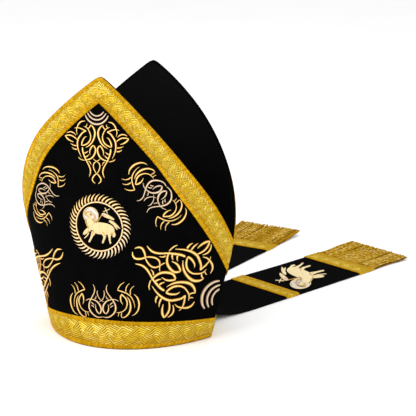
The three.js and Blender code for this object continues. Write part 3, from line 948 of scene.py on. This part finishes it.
# how each part is stitched, in working order: finish, lift, rise, half width of the full rise
lambStitch = {
    "haloDisc": (1, 0.05, 0.12, 2.0), "haloRim": (0, 0.1, 0.7, 0.8), "staff": (2, 0.1, 0.7, 0.7),
    "banner": (0, 0.15, 0.9, 1.2), "wool": (0, 0.22, 1.1, 3.0), "cross": (0, 0.1, 0.7, 0.7),
    "lines": (2, 1.15, 0.3, 0.5), "pink": (3, 0.9, 0.4, 0.8), "eye": (4, 1.3, 0.35, 0.8),
}


def discRows(cx, cy, r):
    k = np.linspace(-1, 1, 25)
    return np.stack([cx + 0 * k, cy + r * k, r * np.sqrt(np.clip(1 - k * k, 0.0005, 1))], 1)


def circleRows(cx, cy, r, wide, steps, squash=1.0):
    a = np.linspace(0, 2 * math.pi, steps + 1)
    return np.stack([cx + r * np.cos(a), cy + squash * r * np.sin(a), 0 * a + wide], 1)


def makeLamb(name, scale, lay, wool):
    relief = 1.2
    rounds = {"haloDisc": [discRows(*lamb["haloDisc"])], "haloRim": [circleRows(*lamb["haloRim"], 60)]}
    patches = []
    for part, (slot, lift, rise, full) in lambStitch.items():
        for n, rows in enumerate(rounds.get(part, lamb[part])):
            path = np.array(rows, float) * lamb["units"] * scale
            if part == "lines":
                path[:, 2] *= lamb["lineBold"]
            if part == "wool":
                lift += lamb["woolStep"] if n else 0
            if part not in rounds:
                path = smoothPath(path, lamb["step"] * scale ** 0.5)
            patches.append(satinStroke(path, lay, rise * relief, 0.0, slot, lift * relief, full))
    mats = [wool, haloSilk, lineSilk, pinkSilk, blackSilk]
    return keep(patchesToObject(name, patches, mats), "braid_gold")


# rope ring round the lamb
ring = {
    "leaves": 44, "inner": 30.7, "outer": 40.2, "sweep": 10.5, "sweepPower": 1.8, "leafWide": 1.22,
    "leafFrom": 0.22, "leafTip": 0.06, "leafRelief": 1.5, "ringAt": 29.9, "ringWide": 1.05,
    "ringRelief": 1.2, "ringTone": 0.6, "tone": (0.62, 0.36, 50),
}


def makeRing():
    patches = []
    cx, cy = motif["centre"]
    toneMid, toneSwing, toneAt = ring["tone"]
    k = np.linspace(0, 1, 9)
    rad = ring["inner"] + (ring["outer"] - ring["inner"]) * k
    belly = np.sin(np.pi * (ring["leafFrom"] + (1 - ring["leafFrom"]) * k))
    wide = ring["leafWide"] * np.clip(belly, ring["leafTip"], 1)
    for n in range(ring["leaves"]):
        a0 = 2 * math.pi * n / ring["leaves"]
        ang = a0 - math.radians(ring["sweep"]) * k ** ring["sweepPower"]
        path = np.stack([cx + rad * np.cos(ang), cy + lamb["squash"] * rad * np.sin(ang), wide], 1)
        tone = toneMid + toneSwing * math.cos(a0 + math.radians(toneAt))
        patches.append(satinStroke(smoothPath(path, satin["step"]), onFront, ring["leafRelief"], tone))
    circle = circleRows(cx, cy, ring["ringAt"], ring["ringWide"], 120, lamb["squash"])
    patches.append(satinStroke(circle, onFront, ring["ringRelief"], ring["ringTone"], full=1.0))
    return keep(patchesToObject("medallion_ring", patches, [ringMetal]), "braid_gold")


def lambOnFront(x, y, h):
    return onFront(x + motif["centre"][0], y * lamb["squash"] + motif["centre"][1], h)


medallionRing = makeRing()
medallionLamb = makeLamb("medallion_lamb", 1.0, lambOnFront, woolSilk)
print("medallion made")

# lappets laid on the table behind the crown; braids are (start from the end, width)
lappet = {
    "wide": 100.0, "thick": 1.6, "ground": 0.2, "rows": 120, "cols": 30,
    "rootRise": 24.0, "rootRun": 58.0, "rootSpan": (0.012, 0.66), "wallGap": 2.0,
    "kneeOut": 4, "kneeRise": 3, "footBack": 26,
    "ripple": 0.8, "rippleWave": (41, 60), "rippleFrom": 70, "rippleFade": 60,
    "upper": (187.0, 25.0), "lower": (33.0, 33.0), "stripSteps": 112, "stripPast": 0.3,
    "stripLift": 0.9, "stripFlat": 0.6, "stripEnd": 0.25, "fringe": 79.0,
    "lambScale": 1.52, "lambTall": 1.37, "lambLean": (0.37, 0.14), "lambLift": 0.8,
}
lappetPair = [
    {"side": "right", "heading": 21.0, "midX": 50.0, "midY": 84.0, "sign": 1, "reach": 312.0,
     "roll": 4.5, "curl": 2.5, "lamb": (101.0, 2.4)},
    {"side": "left", "heading": 7.5, "midX": -56.0, "midY": 84.0, "sign": -1, "reach": 350.0,
     "roll": 2.0, "curl": 6.0, "lamb": (113.0, -6.0)},
]


# along and across in mm on the strip, lift above its underside
def lappetPoints(spec, along, across, lift):
    along, across, lift = np.broadcast_arrays(*(np.asarray(v, float) for v in (along, across, lift)))
    h = math.radians(spec["heading"])
    run = lappet["rootRun"]

    def flat(s):
        x = spec["midX"] + math.sin(h) * s + math.cos(h) * across
        y = spec["midY"] + math.cos(h) * s - math.sin(h) * across
        return x, y
    wallLift = lift
    tail = np.clip((along - spec["reach"]) / lappet["fringe"], 0, 1.1)
    lift = lift + spec["roll"] * (0.5 - across / lappet["wide"]) + spec["curl"] * tail ** 2
    lay = np.stack([*flat(along), lift], -1)
    k = np.clip(along / run, 0, 1)
    share = across * spec["sign"] / lappet["wide"] + 0.5
    inner, outer = lappet["rootSpan"]
    t = spec["sign"] * (inner + (outer - inner) * share)
    off = lappet["wallGap"] + wallLift
    wall = crownPoints(t, lappet["rootRise"] + 0 * t, 1, off)
    knee = crownPoints(t, 0 * t, 1, off + lappet["kneeOut"])
    nearX, nearY = flat(run - lappet["footBack"] + 0 * along)
    footX, footY = flat(run + 0 * along)
    b0, b1, b2, b3 = (1 - k) ** 3, 3 * k * (1 - k) ** 2, 3 * k * k * (1 - k), k ** 3
    x = b0 * wall[..., 0] + b1 * knee[..., 0] + b2 * nearX + b3 * footX
    y = b0 * wall[..., 1] + b1 * knee[..., 1] + b2 * nearY + b3 * footY
    z = b0 * lappet["rootRise"] + b1 * (wallLift + lappet["kneeRise"]) + (b2 + b3) * lift
    return np.where((along >= run)[..., None], lay, np.stack([x, y, z], -1))


def makeLappet(spec):
    name = f"{spec['side']}_lappet"
    half = lappet["wide"] / 2
    topFace = lappet["ground"] + lappet["thick"]

    def sheet(v, u, off):
        along = v * spec["reach"]
        across = (u * 2 - 1) * half
        waveAlong, waveAcross = lappet["rippleWave"]
        ripple = 0.5 * (1 + np.sin(along / waveAlong + across / waveAcross))
        ripple = ripple * np.clip((along - lappet["rippleFrom"]) / lappet["rippleFade"], 0, 1)
        ripple = ripple * np.clip((spec["reach"] - along) / lappet["rippleFade"], 0, 1)
        return lappetPoints(spec, along, across, topFace + off + ripple * lappet["ripple"])
    uvSize = (lappet["wide"], spec["reach"])
    patches = clothSlab(sheet, lappet["rows"], lappet["cols"], lappet["thick"], uvSize)
    cloth = patchesToObject(name + "_cloth", patches, [velvet], weld=True, crease=50)
    keep(cloth, "velvet_black", name)
    extras = []
    for word in ("upper", "lower"):
        fromEnd, wide = lappet[word]
        s0 = spec["reach"] - fromEnd
        ends = half + lappet["stripPast"]
        along = np.linspace(-half, half, lappet["stripSteps"])
        along = np.concatenate([[-ends], along, [ends]])[:, None]
        across = stripAcross(wide)[None, :] + 0 * along
        along = along + 0 * across

        # both ends are turned down over the edge of the cloth
        def lay(off, s0=s0, across=across, along=along):
            lift = topFace + lappet["stripLift"] + off * lappet["stripFlat"]
            lift[[0, -1]] = lappet["stripEnd"]
            return lappetPoints(spec, s0 + across, along, lift)
        p = braidPatch(along, across, wide, lay)
        p["flip"] = True
        strip = patchesToObject(f"{name}_{word}_strip", [p], [braidGold])
        extras.append(keep(strip, "braid_gold", f"{name}_{word}_braid"))
    lean = lappet["lambLean"]

    def lambLay(x, y, h):
        n = spec["lamb"][1] - x + y * lean[0]
        s = spec["reach"] - spec["lamb"][0] + x * lean[1] - y * lappet["lambTall"]
        return lappetPoints(spec, s, n, topFace + lappet["lambLift"] + h)
    extras.append(makeLamb(f"{name}_lamb", lappet["lambScale"], lambLay, litWoolCopy))
    extras.append(makeCords(spec, name))
    return cloth, extras


# twisted cords side by side in two layers, a little uneven
fringe = {
    "pitch": 2.15, "radius": 1.02, "sides": 7, "rings": 22, "seed": 11, "endFrom": 0.985, "endShare": 0.5,
    "fan": 1.03, "stray": 0.9, "uneven": 1.8, "layerShort": 1.5, "sway": 0.5, "bed": 1.15,
    "layerRise": 1.75, "loose": 0.12, "wave": 0.35, "waves": 7, "start": 0.1, "lowest": 0.1,
    # the layer shade darkens the lower layer of cords as painted shade
    "shade": (0.98, 0.16), "shadeRange": (0.5, 1.25), "layerPaintedShade": (0.7, 0.3), "uvSlip": 40,
}


def makeCords(spec, name):
    rng = np.random.default_rng(fringe["seed"] + spec["sign"])
    half = lappet["wide"] / 2
    k = np.linspace(0, 1, fringe["rings"])
    a = np.linspace(0, 2 * math.pi, fringe["sides"] + 1)
    thin = np.where(k > fringe["endFrom"], fringe["endShare"], 1)
    r = fringe["radius"] * thin[:, None] + 0 * a[None, :]
    patches = []
    for layer in range(2):
        count = int(lappet["wide"] / fringe["pitch"]) - layer
        for n in range(count):
            x0 = -half + fringe["pitch"] * (n + 0.5 + 0.5 * layer)
            x1 = x0 * fringe["fan"] + rng.normal(0, fringe["stray"])
            long = lappet["fringe"] - abs(rng.normal(0, fringe["uneven"])) - fringe["layerShort"] * layer
            sway = rng.normal(0, fringe["sway"]) * np.sin(k * math.pi * 2 + rng.uniform(0, 6))
            mid = x0 + (x1 - x0) * k ** 1.5 + sway
            z = fringe["bed"] + fringe["layerRise"] * layer + rng.normal(0, fringe["loose"])
            z = z + fringe["wave"] * np.sin(k * fringe["waves"] + rng.uniform(0, 6)) * layer
            s = spec["reach"] + fringe["start"] + k * long
            across = mid[:, None] + r * np.cos(a)[None, :]
            along = s[:, None] + 0 * across
            lift = np.maximum(z[:, None] + r * np.sin(a)[None, :], fringe["lowest"])
            pts = lappetPoints(spec, along, across, lift)
            slip = rng.uniform(0, fringe["uvSlip"])
            uv = np.stack([along + slip, a[None, :] / (2 * math.pi) + 0 * across], -1)
            # the lower layer of cords is darkened, painted shade under the upper layer; the rest is random
            # tone per cord
            start, gain = fringe["layerPaintedShade"]
            shade = np.clip(rng.normal(*fringe["shade"]), *fringe["shadeRange"]) * (start + gain * layer)
            patches.append({"points": pts, "uv": uv, "values": {"relief": shade}, "flip": True})
    obj = patchesToObject(name + "_cords", patches, [fringeGold])
    return keep(obj, "fringe_gold", name + "_fringe")


lappetCloths = [makeLappet(spec) for spec in lappetPair]
print("lappets made")

# the pieces lying on each horn and each lappet, gathered into lists that nothing uses
for obj, word in ((frontPanel, "front"), (backPanel, "back")):
    on = list(hornBraids[word])
    if word == "front":
        on += scrolls + [medallionRing, medallionLamb]
for (cloth, extras), spec in zip(lappetCloths, lappetPair):
    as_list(extras)

# table, light and camera
# a light is its place, size and watts
studio = {
    "floor": (0.985, 0.985, 0.985, 1), "floorHalf": 9000, "floorDrop": 0.05, "world": 0.95,
    "key": (-0.9, -1.7, 1.4, 1.6, 30.0), "fill": (1.7, -0.9, 1.0, 1.5, 6.0),
    "top": (0.1, 0.3, 2.2, 2.0, 9.0), "lightAim": (0.05, 0.1, 0.12),
}
camSet = {
    "azimuth": 22.5, "elevation": 13.721, "distance": 1853.5, "focalPx": 1525.0, "aimX": 97.147,
    "aimZ": 151.05, "imagePx": 416, "sensor": 36.0,
}


def makeFloor():
    m, tree, shader = newMaterial("tablePale", 0.9, 0.1)
    mottledBase(tree, shader, studio["floor"], 0.02, 3.0)
    u = np.linspace(-1, 1, 5) * studio["floorHalf"]
    xx, yy = np.meshgrid(u, u)
    pts = np.stack([xx, yy, 0 * xx - studio["floorDrop"]], -1)
    obj = patchesToObject("table_top", [{"points": pts}], [m])


def areaLight(name, spot):
    x, y, z, size, watts = spot
    data = bpy.data.lights.new(name, "AREA")
    data.energy = watts
    data.size = size
    obj = bpy.data.objects.new(name, data)
    obj.location = (x, y, z)
    aim = Vector(studio["lightAim"]) - Vector((x, y, z))
    obj.rotation_euler = aim.to_track_quat("-Z", "Y").to_euler()
    scene.collection.objects.link(obj)


def makeCamera():
    a = math.radians(camSet["azimuth"])
    e = math.radians(camSet["elevation"])
    right = Vector((math.cos(a), math.sin(a), 0))
    up = Vector((-math.sin(a) * math.sin(e), math.cos(a) * math.sin(e), math.cos(e)))
    back = Vector((math.sin(a) * math.cos(e), -math.cos(a) * math.cos(e), math.sin(e)))
    aim = Vector((camSet["aimX"] * math.cos(a), camSet["aimX"] * math.sin(a), camSet["aimZ"])) * mm
    data = bpy.data.cameras.new("photoCamera")
    data.sensor_width = camSet["sensor"]
    data.lens = camSet["sensor"] * camSet["focalPx"] / camSet["imagePx"]
    data.clip_start = 0.05
    data.clip_end = 60
    obj = bpy.data.objects.new("photoCamera", data)
    turn = Matrix((right, up, back)).transposed().to_4x4()
    obj.matrix_world = Matrix.Translation(aim + back * camSet["distance"] * mm) @ turn
    scene.collection.objects.link(obj)
    scene.camera = obj


makeFloor()
for label in ("key", "fill", "top"):
    areaLight(label + "Light", studio[label])
world = bpy.data.worlds.new("studio")
scene.world = world
world.use_nodes = True
sky = world.node_tree.nodes["Background"]
sky.inputs["Color"].default_value = (1, 1, 1, 1)
sky.inputs["Strength"].default_value = studio["world"]
scene.view_settings.view_transform = "Standard"
makeCamera()
print("studio set")
